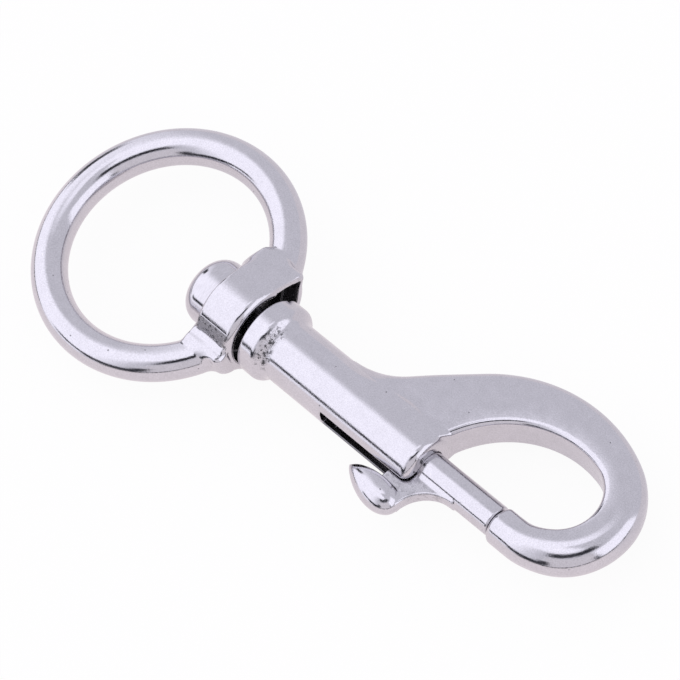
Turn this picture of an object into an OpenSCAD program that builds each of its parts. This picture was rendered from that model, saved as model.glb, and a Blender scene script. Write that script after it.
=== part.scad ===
// Swivel snap hook: a cast eye that turns on a headed stud, and a cast hook
// body whose gap is closed by a sprung sliding bolt with a thumb lever.
// The swivel axis is X, the eye lies in the XY plane with its centre at the
// origin, and the hook end points along +X.

/* [Swivel eye] */
// Clear diameter of the eye
eye_inner_d = 32.2; // [24:0.1:45]
// Diameter of the round bar that the eye is made of
eye_bar_d = 5.8; // [4:0.1:8]
// Radius of the collar round the swivel axis
collar_r = 7.5; // [7.3:0.1:9]
// Length of the collar along the swivel axis
collar_len = 7.0; // [5:0.1:10]
// How far the collar's rim stands out past the outside of the eye's bar
collar_out = -0.5; // [-1.5:0.1:1.5]
// How far the collar's wing reaches from the swivel axis, on the side of the hook's loop
loop_side_wing = 9.9; // [9.2:0.1:13]
// How far the collar's wing reaches from the swivel axis, on the side of the thumb lever
lever_side_wing = 9.3; // [9.2:0.1:13]
// Height of a wing
wing_h = 6.0; // [4:0.1:7]
// Wall of the collar's rim, round its recess
rim_wall = 1.1; // [0.6:0.1:2]
// Depth of the recess in the collar
recess_depth = 3.2; // [1:0.1:4]
// Rounding of the collar's outer edges
collar_round = 0.7; // [0.2:0.1:1]
// Corner radius of the wings, above
wing_corner = 1.2; // [0.5:0.1:1.5]
// Corner radius of the wings, below
wing_belly = 2.7; // [0.5:0.1:2.8]
// Hollow fillet between the collar and its wing, on the side of the hook's loop
loop_side_fillet = 4.5; // [0.5:0.1:5]
// Hollow fillet between the collar and its wing, on the side of the thumb lever
lever_side_fillet = 0.9; // [0.5:0.1:5]
// How far the eye's neck stands back behind the collar, on the side of the hook's loop
loop_side_neck = 1.3; // [0.3:0.1:2]
// How far the eye's neck stands back behind the collar, on the side of the thumb lever
lever_side_neck = 0.3; // [0.3:0.1:2]
// Height of the necks
neck_h = 5.4; // [3.5:0.1:5.6]

/* [Swivel stud] */
// Diameter of the stud's head
head_d = 11.1; // [8:0.1:14]
// Length of the stud's head
head_len = 5.9; // [4:0.1:8]
// Rounding of the head's edge
head_round = 3.0; // [0.5:0.1:3.4]
// Diameter of the stud's shank
shank_d = 5.2; // [3:0.1:6]
// Length of shank that is pressed into the barrel
shank_grip = 4.9; // [3:0.1:6]
// Running clearance of the shank in the eye, on the radius
turn_clear = 0.08; // [0.02:0.01:0.1]
// Play of the eye along the swivel axis, at each end
end_play = 0.15; // [0.05:0.05:0.5]
// Interference of the shank in the barrel, on the radius
press_grip = 0.005; // [0:0.005:0.02]

/* [Barrel] */
// Diameter of the barrel
barrel_d = 10.1; // [8.5:0.1:13]
// Length of the barrel from its flange to its mouth
barrel_len = 31.1; // [28:0.1:40]
// Diameter of the flange at the swivel end
flange_d = 12.9; // [11:0.1:16]
// Thickness of the flange
flange_t = 3.6; // [2:0.1:6]
// Rounding of the flange's edges
flange_round = 0.9; // [0.2:0.1:1]
// Gap between the flange and the collar's rim
swivel_gap = 1.1; // [0.6:0.1:3]
// Hollow fillet between the flange and the barrel
flange_fillet = 1.5; // [0.5:0.1:2]
// Rounding of the mouth's outer edge
mouth_round = 1.4; // [0.3:0.1:1.6]
// Width of the slot that the thumb lever runs in
slot_w = 3.2; // [3:0.1:4.9]
// Turn of the hook about the swivel axis, as it lies on a flat surface
lie_roll = -6; // [-15:1:0]

/* [Hook] */
// Clear gap between the barrel's mouth and the nose
gate_gap = 13.95; // [8:0.05:15]
// Radius of the nose
nose_r = 2.85; // [2.2:0.05:3.4]
// How far the nose's axis lies below the bolt's axis
nose_drop = 0.25; // [0:0.05:0.5]
// Straight length of the nose
nose_len = 4.1; // [2:0.1:6]
// Thickness of the hook
hook_t = 6.8; // [5:0.1:8]
// Outer radius at the hook's end
end_outer_r = 12.05; // [11:0.05:15]
// Inner radius at the hook's end
end_inner_r = 6.4; // [4.5:0.05:8]
// Outer radius of the hook's back
back_outer_r = 24.05; // [20:0.05:30]
// Inner radius of the hook's back
back_inner_r = 16.3; // [13:0.05:20]
// Slope of the blade that joins the hook's back to the barrel, in degrees
blade_slope = 43; // [38:1:50]
// Hollow radius between the blade and the barrel
blade_fillet = 15.3; // [8:0.1:20]

/* [Sliding bolt] */
// Diameter of the bolt
bolt_d = 5.06; // [4:0.02:6]
// Running clearance of the bolt in its bore, on the radius
bolt_clear = 0.08; // [0.05:0.01:0.1]
// Gap between the shut bolt's end and the nose
shut_gap = 0.15; // [0.1:0.05:0.5]
// How far the open bolt's end draws back inside the mouth
open_margin = 0.3; // [0.1:0.1:1]
// Gap between the open bolt's web and the slot's end
stop_gap = 0.15; // [0.1:0.05:0.5]
// Length of bolt that stays in the barrel when shut
bolt_hold = 10.7; // [8:0.1:13]
// Chamfer of the bolt's end
bolt_chamfer = 0.35; // [0.1:0.05:0.8]
// Thickness of the lever's web
web_t = 2.2; // [1:0.1:2.8]
// Distance from the mouth back to the web's rear edge
web_back = 3.85; // [2:0.05:6]
// Radius of the web's hollow front edge
web_front_r = 5.9; // [5:0.1:9]
// How far the web's front edge lands short of the pad's heel
web_heel = 0.7; // [0.5:0.1:1.5]
// Distance from the bolt's axis to the near side of the thumb pad
pad_near = 6.2; // [5.9:0.1:8]
// Length of the thumb pad
pad_len = 10.4; // [7:0.1:14]
// Depth of the thumb pad across the axis
pad_depth = 4.9; // [3:0.1:6]
// Thickness of the thumb pad
pad_t = 5.0; // [3:0.1:6]
// Distance from the web's rear edge back to the pad's tip
pad_over = 5.3; // [3:0.1:8]
// How far the near side curves away at the pad's two ends
pad_curl = 0.9; // [0.3:0.1:1.5]

/* [Spring] */
// Diameter of the spring's wire
wire_d = 0.5; // [0.3:0.05:0.7]
// Number of turns
spring_turns = 7; // [5:1:8]
// Gap between the spring's outside and the bore
spring_clear = 0.25; // [0.1:0.05:0.5]
// Gap at each end of the spring
spring_seat_gap = 0.02; // [0.01:0.01:0.1]

/* [Hidden] */

round_fn = 96;        // sides of round solids in previews
arc_steps = 8;        // points on a quarter of a rounded edge
cut = 1;              // overrun of a cutting tool past a face
bite = 0.2;           // depth by which joined forms run into each other
neck_lap = 0.4;       // how far a neck runs in under the collar's rounded edge

// Eye
eye_bar_r = eye_bar_d / 2;
eye_r = eye_inner_d / 2 + eye_bar_r;
rim_x = eye_r + eye_bar_r + collar_out;
collar_x = rim_x - collar_len;
recess_x = rim_x - recess_depth;

// Stud
head_r = head_d / 2;
shank_r = shank_d / 2;
head_x = collar_x - end_play;
flange_x = rim_x + swivel_gap;
shank_end_x = flange_x + shank_grip;

// Barrel
barrel_r = barrel_d / 2;
flange_r = flange_d / 2;
bolt_r = bolt_d / 2;
bore_r = bolt_r + bolt_clear;
barrel_x = flange_x + flange_t;
mouth_x = barrel_x + barrel_len;
web_x = mouth_x - web_back;
bolt_end_x = mouth_x + gate_gap - shut_gap;
bolt_back_x = mouth_x - bolt_hold;
bolt_travel = gate_gap - shut_gap + open_margin;
slot_x = web_x - bolt_travel - stop_gap;

// Hook outline, in the hook's own plane
nose_x = mouth_x + gate_gap;
end_outer_c = [nose_x + nose_len, end_outer_r - nose_r - nose_drop];
wall_end = end_outer_r - end_inner_r;      // width of the bar at the hook's end
end_inner_c = end_outer_c + [-0.05, -0.03] * wall_end;
back_outer_from = 61.7;                    // normal angle where the back begins, outside
back_inner_from = 75.7;                    // normal angle where the back begins, inside
function polar(r, a) = r * [cos(a), sin(a)];
back_outer_c = end_outer_c - polar(back_outer_r - end_outer_r, back_outer_from);
back_inner_c = end_inner_c - polar(back_inner_r - end_inner_r, back_inner_from);
blade_a = 90 + blade_slope;                // normal angle of the blade's straight edge
blade_top = back_outer_c + polar(back_outer_r, blade_a);
blade_run = (blade_top.y + blade_fillet * sin(blade_a) - barrel_r - blade_fillet) / sin(blade_slope);
fillet_c = blade_top + polar(blade_fillet, blade_a) - polar(blade_run, blade_slope);
inner_last = 158;                          // normal angle where the inside meets the mouth

function outer_pt(a) = a < back_outer_from
    ? end_outer_c + polar(end_outer_r, a)
    : back_outer_c + polar(back_outer_r, a);
function inner_pt(a) = a < back_inner_from
    ? end_inner_c + polar(end_inner_r, a)
    : back_inner_c + polar(back_inner_r, a);
function mix(a, b, t) = a + (b - a) * t;

// Stations of the hook's bar: [outer point, inner point, roundness, half thickness]
nose_t = nose_r + 0.25;
half_t = hook_t / 2;
nose_steps = 3;
end_steps = 14;
back_steps = 12;
blade_steps = 6;
root_steps = 8;
outer_blade_end = fillet_c + polar(blade_fillet, blade_a + 180);
inner_mouth = inner_pt(inner_last);
root_inner = [mouth_x - 12, 0];
root_taper = 0.75;                         // share of its thickness that the blade loses at its root
stations = [
    for (i = [0 : nose_steps])
        let (t = i / nose_steps, x = mix(nose_x + 0.9, nose_x + nose_len, t))
        [[x, -nose_drop - nose_r], [x, mix(nose_r - nose_drop, end_inner_c.y - end_inner_r, t * t)],
         mix(2, 2.2, t), mix(nose_t, nose_t + 0.1, t)],
    for (i = [1 : end_steps])
        let (t = i / end_steps, a = mix(-90, back_outer_from, t))
        [outer_pt(a), inner_pt(a), mix(2.2, 2.9, t), mix(nose_t + 0.1, half_t, t)],
    for (i = [1 : back_steps])
        let (t = i / back_steps, a = mix(back_outer_from, blade_a, t))
        [outer_pt(a), inner_pt(a), mix(2.9, 3.2, t), half_t],
    for (i = [1 : blade_steps])
        let (t = i / blade_steps, a = mix(blade_a, inner_last, t))
        [mix(blade_top, outer_blade_end, t), inner_pt(a), 3.2, half_t],
    for (i = [1 : root_steps])
        let (t = i / root_steps, a = mix(blade_a, 90, t))
        [fillet_c - polar(blade_fillet, a), mix(inner_mouth, root_inner, t),
         mix(3.2, 2, t), half_t * (1 - root_taper * t * t)]
];

// One section of the bar: a ring of points between its outer and inner point
section_n = 24;
function power(v, n) = sign(v) * pow(abs(v), 2 / n);
function section(s) =
    let (mid = (s[0] + s[1]) / 2, arm = (s[0] - s[1]) / 2)
    [for (j = [0 : section_n - 1])
        let (a = 360 * j / section_n, p = mid + arm * power(cos(a), s[2]))
        [p.x, p.y, s[3] * power(sin(a), s[2])]];

// Nose end: the first section drawn in along a quarter round
nose_caps = 4;
function nose_section(t) =
    let (s = stations[0], mid = (s[0] + s[1]) / 2, k = cos(90 * t),
         shrink = mix(0.62, 1, k), x = nose_x + 0.9 * (1 - sin(90 * t)))
    [for (p = section(s)) [x, mid.y + (p.y - mid.y) * shrink, p.z * shrink]];

// A closed skin over rings of points that have the same number of points each
module skin(rings) {
    n = len(rings[0]);
    m = len(rings);
    points = [for (r = rings) each r];
    sides = [for (i = [0 : m - 2], j = [0 : n - 1])
        let (a = i * n + j, b = i * n + (j + 1) % n)
        each [[a, b, b + n], [a, b + n, a + n]]];
    first = [for (j = [n - 1 : -1 : 0]) j];
    last = [for (j = [0 : n - 1]) (m - 1) * n + j];
    polyhedron(points, concat(sides, [first, last]));
}

// Turns a solid that is drawn along +Z so that it lies along +X
module along_x() { rotate([0, 90, 0]) children(); }

// Turns the hook and its moving parts about the swivel axis
module lie() { rotate([lie_roll, 0, 0]) children(); }

// Quarter-round points from angle a0 to a1 about a centre [radius, height]
function arc_pts(c, r, a0, a1) =
    [for (i = [0 : arc_steps]) c + polar(r, mix(a0, a1, i / arc_steps))];

// A turned solid about X, from [radius, x] points
module turned(pts) {
    along_x() rotate_extrude($fn = round_fn) polygon(pts);
}

module drilled(r, x0, x1) {
    translate([x0, 0, 0]) along_x() cylinder(r = r, h = x1 - x0, $fn = round_fn);
}

// The collar's form, drawn in all round by a wall: a round middle, a flat wing each
// side with corners that are rounder below, and hollow fillets between them
module winged(inset, x0, x1) {
    r = collar_r - inset;
    half_h = wing_h / 2 - inset;
    for (side = [-1, 1], up = [-1, 1]) {
        reach = (side > 0 ? loop_side_wing : lever_side_wing) - inset;
        corner = min(half_h - bite, reach - sqrt(r * r - half_h * half_h) - bite,
                     up > 0 ? wing_corner : wing_belly);
        roomy = (pow(reach - corner, 2) - r * r + half_h * half_h) / (2 * (r - half_h));
        fillet = min(inset + (side > 0 ? loop_side_fillet : lever_side_fillet), roomy);
        c = [half_h + fillet, sqrt(pow(r + fillet, 2) - pow(half_h + fillet, 2))];
        tilt = atan2(c.y, c.x);
        translate([x0, side > 0 ? -bite : -reach, up > 0 ? -bite : corner - half_h])
            cube([x1 - x0, reach + bite, half_h - corner + bite]);
        translate([x0, side > 0 ? -bite : corner - reach, up > 0 ? -bite : -half_h])
            cube([x1 - x0, reach - corner + bite, half_h + bite]);
        translate([0, side * (reach - corner), up * (half_h - corner)]) drilled(corner, x0, x1);
        translate([x0, 0, 0]) along_x() linear_extrude(x1 - x0)
            polygon([for (p = concat(
                [[0, 0]],
                [for (i = [0 : arc_steps]) c + polar(fillet, 180 + tilt * (1 - i / arc_steps))],
                [[half_h - bite, c.y]]
            )) [-p.x * up, p.y * side]]);
    }
}

// One of the two necks that run from the eye's bar into the back of the collar
module neck(side, back) {
    x0 = collar_x - back;
    x1 = collar_x + collar_round + bite;
    y0 = collar_r - collar_round - neck_lap;
    translate([0, 0, -neck_h / 2]) linear_extrude(neck_h)
        polygon([for (p = [
            [x1, y0], [collar_x, y0], [x0, y0 + back],
            [x0, sqrt(eye_r * eye_r - x0 * x0)], [x1, sqrt(eye_r * eye_r - x1 * x1)]
        ]) [p.x, p.y * side]]);
}

// The collar before it is hollowed, with the edges of its round middle rounded
module collar_blank() {
    turned(concat(
        [[0, collar_x]],
        arc_pts([collar_r - collar_round, collar_x + collar_round], collar_round, -90, 0),
        arc_pts([collar_r - collar_round, rim_x - collar_round], collar_round, 0, 90),
        [[0, rim_x]]
    ));
    winged(0, collar_x + collar_round, rim_x - collar_round);
    winged(collar_round / 2, collar_x + bite, rim_x - bite);
}

module swivel_eye() {
    color([0.80, 0.79, 0.84])
    difference() {
        union() {
            rotate_extrude($fn = round_fn) translate([eye_r, 0]) circle(r = eye_bar_r, $fn = round_fn / 2);
            neck(1, loop_side_neck);
            neck(-1, lever_side_neck);
            collar_blank();
        }
        drilled(collar_r - rim_wall, recess_x, rim_x + cut);
        winged(rim_wall, recess_x, rim_x + cut);
        drilled(shank_r + turn_clear, collar_x - cut, rim_x + cut);
    }
}

module swivel_stud() {
    color([0.83, 0.82, 0.87])
    union() {
        turned(concat(
            [[0, head_x - head_len]],
            arc_pts([head_r - head_round, head_x - head_len + head_round], head_round, -90, 0),
            [[head_r, head_x], [0, head_x]]
        ));
        drilled(shank_r + press_grip, head_x - bite, shank_end_x);
    }
}

module barrel_blank() {
    turned(concat(
        [[0, flange_x]],
        arc_pts([flange_r - flange_round, flange_x + flange_round], flange_round, -90, 0),
        arc_pts([flange_r - flange_round, barrel_x - flange_round], flange_round, 0, 60),
        arc_pts([barrel_r + flange_fillet, barrel_x + flange_fillet], flange_fillet, 240, 180),
        arc_pts([barrel_r - mouth_round, mouth_x - mouth_round], mouth_round, 0, 90),
        [[0, mouth_x]]
    ));
}

module hook_bar() {
    skin(concat(
        [for (i = [nose_caps : -1 : 1]) nose_section(i / nose_caps)],
        [for (s = stations) section(s)]
    ));
}

module hook_body() {
    color([0.78, 0.77, 0.82])
    lie()
    difference() {
        union() {
            barrel_blank();
            hook_bar();
        }
        drilled(bore_r, shank_end_x - bite, mouth_x + gate_gap / 2);
        drilled(shank_r, flange_x - cut, shank_end_x);
        translate([slot_x, -barrel_r - cut, -slot_w / 2])
            cube([mouth_x + cut - slot_x, barrel_r + cut, slot_w]);
    }
}

// Side view of the lever's web, whose hollow front edge runs out along the bolt
module web_outline() {
    heel_x = web_x - pad_over + pad_len;
    front_c = [heel_x + web_front_r - web_heel, -bolt_r - web_front_r];
    depth = pad_near + pad_depth * 0.4;
    difference() {
        translate([web_x, -depth]) square([front_c.x - web_x, depth]);
        translate(front_c) circle(r = web_front_r, $fn = round_fn);
        translate([heel_x - 2 * web_heel, -depth - cut])
            square([web_front_r * 2, depth + cut - pad_near - pad_curl]);
    }
}

module gate_bolt() {
    color([0.80, 0.79, 0.85])
    lie()
    union() {
        turned([
            [0, bolt_back_x], [bolt_r - bolt_chamfer, bolt_back_x], [bolt_r, bolt_back_x + bolt_chamfer],
            [bolt_r, bolt_end_x - bolt_chamfer], [bolt_r - bolt_chamfer, bolt_end_x], [0, bolt_end_x]
        ]);
        translate([0, 0, -web_t / 2]) linear_extrude(web_t) web_outline();
        thumb_pad();
    }
}

// Thumb pad: a drop shape whose tip points back along the barrel. Each section
// across it is a flattened ring, as wide as the drop is there.
pad_steps = 16;
drop_power = 1.2;                          // how far the belly lies towards the heel
function drop(a) = sin(a) * pow(sin(a / 2), drop_power);
drop_peak = max([for (a = [90 : 2 : 140]) drop(a)]);
function pad_ring(a) =
    let (w = max(drop(a) / drop_peak, 0.06), near = pad_near + pad_curl * pow(1 - w, 2),
         x = web_x - pad_over + pad_len * (1 - cos(a)) / 2)
    [for (j = [0 : section_n - 1])
        let (b = 360 * j / section_n)
        [x, -near - pad_depth * w * (1 - cos(b)) / 2, -pad_t / 2 * pow(w, 0.8) * sin(b)]];
module thumb_pad() {
    skin([for (i = [0 : pad_steps]) pad_ring(mix(3, 177, i / pad_steps))]);
}

// Compression spring between the stud's end and the bolt's back
module gate_spring() {
    wire_r = wire_d / 2;
    coil_r = bore_r - spring_clear - wire_r;
    x0 = shank_end_x + spring_seat_gap + wire_r;
    x1 = bolt_back_x - spring_seat_gap - wire_r;
    steps = 18;
    sides = 8;
    pitch_a = atan((x1 - x0) / (spring_turns * 2 * PI * coil_r));
    total = spring_turns * steps;
    color([0.55, 0.55, 0.58])
    lie()
    skin([for (i = [0 : total])
        let (a = 360 * i / steps, x = mix(x0, x1, i / total),
             out = [0, cos(a), sin(a)], up = [cos(pitch_a), sin(pitch_a) * sin(a), -sin(pitch_a) * cos(a)])
        [for (j = [0 : sides - 1])
            let (b = 360 * j / sides)
            [x, 0, 0] + coil_r * out + wire_r * (out * cos(b) + up * sin(b))]]);
}

swivel_eye();
swivel_stud();
hook_body();
gate_bolt();
gate_spring();
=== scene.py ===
"""Dresses the swivel snap hook: smooth castings, turned stud, spring, finishes, light and camera.

Lengths inside the pieces are millimetres in the shared frame: X runs along the
swivel axis from the eye to the hook, Y towards the hook's loop and Z up. The
hook and the bolt are shaped in the hook's own plane, then rolled about X. In
the names of sizes r is a radius, t a thickness, x a place along the swivel
axis, edge a rounded edge and fillet a hollow one. Angles are in degrees.
"""

import logging
import math
from dataclasses import dataclass
from enum import Enum
from typing import Callable, ClassVar, Optional, Sequence, Union

import bpy
import numpy as np
from mathutils import Matrix, Quaternion, Vector
from numpy import hypot, maximum, minimum


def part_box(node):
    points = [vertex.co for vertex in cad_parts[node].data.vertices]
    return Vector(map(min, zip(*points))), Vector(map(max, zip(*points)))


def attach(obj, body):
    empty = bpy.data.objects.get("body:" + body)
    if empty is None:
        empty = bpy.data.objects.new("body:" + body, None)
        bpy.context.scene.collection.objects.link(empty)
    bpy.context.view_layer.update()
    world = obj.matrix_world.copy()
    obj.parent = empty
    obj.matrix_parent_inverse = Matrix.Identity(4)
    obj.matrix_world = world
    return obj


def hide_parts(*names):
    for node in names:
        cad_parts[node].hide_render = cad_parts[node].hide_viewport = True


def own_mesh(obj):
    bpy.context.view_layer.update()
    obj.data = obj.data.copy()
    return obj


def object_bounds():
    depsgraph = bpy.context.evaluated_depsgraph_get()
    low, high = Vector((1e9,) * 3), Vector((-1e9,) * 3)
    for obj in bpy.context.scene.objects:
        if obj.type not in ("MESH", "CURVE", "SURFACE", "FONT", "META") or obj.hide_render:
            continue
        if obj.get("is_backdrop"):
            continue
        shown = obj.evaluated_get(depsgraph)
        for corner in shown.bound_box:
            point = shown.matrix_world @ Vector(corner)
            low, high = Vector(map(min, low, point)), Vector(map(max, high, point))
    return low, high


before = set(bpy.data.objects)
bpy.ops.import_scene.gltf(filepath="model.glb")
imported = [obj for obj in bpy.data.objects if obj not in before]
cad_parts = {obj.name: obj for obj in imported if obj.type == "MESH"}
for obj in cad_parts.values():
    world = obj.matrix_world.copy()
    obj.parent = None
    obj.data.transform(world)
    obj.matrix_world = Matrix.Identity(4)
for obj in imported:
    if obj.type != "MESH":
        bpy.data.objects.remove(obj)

log = logging.getLogger("swivel_snap_hook")

MM = 0.001  # metres in a millimetre
MICRON = 1e-6  # metres in a micrometre
TINY = 1e-9  # keeps divisions safe
FLAT = 1e-6  # slope below which an oval counts as flat
Array = np.ndarray
Places = Sequence[Array]  # x, y and z, which broadcast together
Shape = Callable[[Places], Array]
Pair = tuple[float, float]
Triple = tuple[float, float, float]
Socket = bpy.types.NodeSocket
Feed = Union[Socket, float, tuple]  # what goes into a node's socket


# ---- distance fields


def join(a: Array, b: Array, radius: float | Array) -> Array:
    """Unites two distance fields, with a hollow fillet of this radius between them."""
    corner = hypot(maximum(radius - a, 0), maximum(radius - b, 0))
    return maximum(radius, minimum(a, b)) - corner


def meet(a: Array, b: Array, radius: float | Array) -> Array:
    """Keeps what two distance fields share, the edge between them rounded to this radius."""
    corner = hypot(maximum(radius + a, 0), maximum(radius + b, 0))
    return minimum(-radius, maximum(a, b)) + corner


def carve(a: Array, tool: Array, radius: float | Array) -> Array:
    """Cuts a tool out of a form and rounds the edge that it leaves."""
    return meet(a, -tool, radius)


def ramp(value: Array, low: float, high: float) -> Array:
    """Smooth step from 0 at low to 1 at high."""
    t = np.clip((value - low) / (high - low), 0.0, 1.0)
    return t * t * (3.0 - 2.0 * t)


def oval(out: Array, height: Array, width: float | Array, half: Array, power: float | Array) -> Array:
    """Rounds the outer side of a bar to half an oval.

    Args:
        out: Distance from the bar's outer side, negative inside.
        height: Height over the bar's middle plane.
        width: How far the oval reaches in from the side.
        half: Half of the bar's thickness.
        power: 2 for an ellipse, more for a squarer oval.

    Returns:
        Distances of the rounded bar.
    """
    inward, height = maximum(out + width, 0.0), np.abs(height)
    level = ((inward / width) ** power + (height / half) ** power) ** (1 / power)
    steep = hypot(inward ** (power - 1) / width**power, height ** (power - 1) / half**power)
    return (level - 1.0) * level ** (power - 1) / maximum(steep, FLAT)


def off(start: Pair, distance: float, angle: float) -> Pair:
    """The point at a distance from another, at an angle in degrees."""
    a = math.radians(angle)
    return (start[0] + distance * math.cos(a), start[1] + distance * math.sin(a))


@dataclass(frozen=True)
class Arc:
    """A piece of a circle in the XY plane, from one normal angle to another, in degrees."""

    centre: Pair
    radius: float
    start: float
    end: float
    hollow: bool = False  # True where the form lies outside the circle

    def point(self, angle: float) -> Pair:
        """The point of the circle at a normal angle in degrees."""
        return off(self.centre, self.radius, angle)

    def distances(self, x: Array, y: Array) -> tuple[Array, Array]:
        """Measures from the arc.

        Args:
            x: Places along X.
            y: Places along Y.

        Returns:
            Signed distance to the whole circle, and true distance to the arc.
        """
        dx, dy = x - self.centre[0], y - self.centre[1]
        signed = hypot(dx, dy) - self.radius
        middle = math.radians((self.start + self.end) / 2)
        half = math.radians(abs(self.end - self.start) / 2)
        c, s = math.cos(middle), math.sin(middle)
        turn = np.arctan2(dy * c - dx * s, dx * c + dy * s)
        ends = [hypot(x - p[0], y - p[1]) for p in (self.point(self.start), self.point(self.end))]
        true = np.where(np.abs(turn) <= half, np.abs(signed), minimum(*ends))
        return (-signed if self.hollow else signed), true


@dataclass(frozen=True)
class Edge:
    """A straight edge in the XY plane; the form lies on its right-hand side."""

    start: Pair
    end: Pair

    def distances(self, x: Array, y: Array) -> tuple[Array, Array]:
        """Measures from the edge.

        Args:
            x: Places along X.
            y: Places along Y.

        Returns:
            Signed distance to the endless line, and true distance to the edge.
        """
        ax, ay = self.end[0] - self.start[0], self.end[1] - self.start[1]
        length = math.hypot(ax, ay)
        px, py = x - self.start[0], y - self.start[1]
        signed = (ax * py - ay * px) / length
        t = np.clip((px * ax + py * ay) / length**2, 0.0, 1.0)
        return signed, hypot(px - t * ax, py - t * ay)


@dataclass(frozen=True)
class Outline:
    """A chain of arcs and edges whose tangents run on into each other."""

    parts: tuple[Arc | Edge, ...]

    def signed(self, x: Array, y: Array) -> Array:
        """Measures from the chain.

        Args:
            x: Places along X.
            y: Places along Y.

        Returns:
            Signed distance to the nearest of the chain's parts.
        """
        best, nearest = self.parts[0].distances(x, y)
        for part in self.parts[1:]:
            signed, true = part.distances(x, y)
            best, nearest = np.where(true < nearest, signed, best), minimum(true, nearest)
        return best


# ---- meshing


@dataclass(frozen=True)
class SurfaceNet:
    """Turns a distance field into a closed mesh of even quads that lie on it."""

    step: float  # spacing of the grid
    landings: int = 3  # moves onto the surface before the points are evened out
    relaxations: int = 3  # rounds of evening out, each with a move onto the surface
    nudge: float = 1e-3  # distance over which the field's slope is taken
    least_slope: float = 0.05  # squared slope below which a move grows no longer

    def gradient(self, shape: Shape, points: Array) -> Array:
        """Takes the slope of a field.

        Args:
            shape: The distance field.
            points: Points, one to a row.

        Returns:
            The slope at each point.
        """
        slopes = []
        for axis in range(3):
            offset = np.zeros(3)
            offset[axis] = self.nudge
            slopes.append((shape((points + offset).T) - shape((points - offset).T)) / (2 * self.nudge))
        return np.stack(slopes, axis=1)

    def settle(self, shape: Shape, points: Array) -> Array:
        """Moves each point straight onto the surface, by one step of the grid at most.

        Args:
            shape: The distance field.
            points: Points near its surface.

        Returns:
            The moved points.
        """
        slope = self.gradient(shape, points)
        distance = shape(points.T)
        move = distance[:, None] * slope / maximum((slope**2).sum(1), self.least_slope)[:, None]
        length = np.linalg.norm(move, axis=1, keepdims=True)
        return points - move * minimum(1.0, self.step / maximum(length, TINY))

    @staticmethod
    def even(points: Array, quads: Array) -> Array:
        """Moves each point halfway to the middle of its neighbours.

        Args:
            points: The mesh's points.
            quads: Its faces, as point numbers.

        Returns:
            The moved points.
        """
        pairs = np.concatenate([quads[:, [i, (i + 1) % 4]] for i in range(4)])
        count = np.zeros(len(points), np.int64)
        total = np.zeros(points.shape)
        for k in range(3):
            ahead = np.bincount(pairs[:, 0], points[pairs[:, 1], k], len(points))
            total[:, k] = ahead + np.bincount(pairs[:, 1], points[pairs[:, 0], k], len(points))
        for side in (0, 1):
            count += np.bincount(pairs[:, side], minlength=len(points))
        return 0.5 * points + 0.5 * total / maximum(count, 1)[:, None]

    def build(self, shape: Shape, low: Triple, high: Triple) -> tuple[Array, Array, Array]:
        """Meshes the surface of a field inside a box.

        Args:
            shape: The distance field, negative inside.
            low: Lowest corner of the form.
            high: Highest corner of the form.

        Returns:
            Points, quads of point numbers, and the surface normal at each point.
        """
        axes = [np.arange(a - 2 * self.step, b + 3 * self.step, self.step) for a, b in zip(low, high)]
        inside = shape(np.ix_(*axes)) < 0
        cells = tuple(n - 1 for n in inside.shape)
        count = np.zeros(cells, np.uint8)
        for i, j, k in np.ndindex(2, 2, 2):
            count += inside[i : i + cells[0], j : j + cells[1], k : k + cells[2]]
        mixed = (count > 0) & (count < 8)
        number = np.full(cells, -1, np.int64)
        number[mixed] = np.arange(mixed.sum())
        points = np.array([a[0] for a in axes]) + (np.argwhere(mixed) + 0.5) * self.step

        quads = []
        for axis in range(3):
            lower = np.take(inside, range(cells[axis]), axis)
            upper = np.take(inside, range(1, cells[axis] + 1), axis)
            across, beside = np.eye(3, dtype=int)[(axis + 1) % 3], np.eye(3, dtype=int)[(axis + 2) % 3]
            for first, outward in ((lower & ~upper, True), (upper & ~lower, False)):
                at = np.argwhere(first)
                ring = [at - across - beside, at - beside, at, at - across]
                corners = np.stack([number[tuple(c.T)] for c in ring], axis=1)
                quads.append(corners if outward else corners[:, ::-1])
        quads = np.concatenate(quads)

        for _ in range(self.landings):
            points = self.settle(shape, points)
        for _ in range(self.relaxations):
            points = self.settle(shape, self.even(points, quads))
        points = self.settle(shape, points)
        normals = self.gradient(shape, points)
        normals /= maximum(np.linalg.norm(normals, axis=1, keepdims=True), TINY)
        return points, quads, normals


def rolled(points: Array, degrees: float) -> Array:
    """Turns points about the swivel axis."""
    c, s = math.cos(math.radians(degrees)), math.sin(math.radians(degrees))
    return points @ np.array([[1, 0, 0], [0, c, -s], [0, s, c]]).T


def placed(name: str, data: bpy.types.ID) -> bpy.types.Object:
    """Puts a new object into the scene, at the origin.

    Args:
        name: Its name.
        data: Its mesh or camera data.

    Returns:
        The object.
    """
    made = bpy.data.objects.new(name, data)
    bpy.context.scene.collection.objects.link(made)
    return made


# ---- sizes


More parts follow.
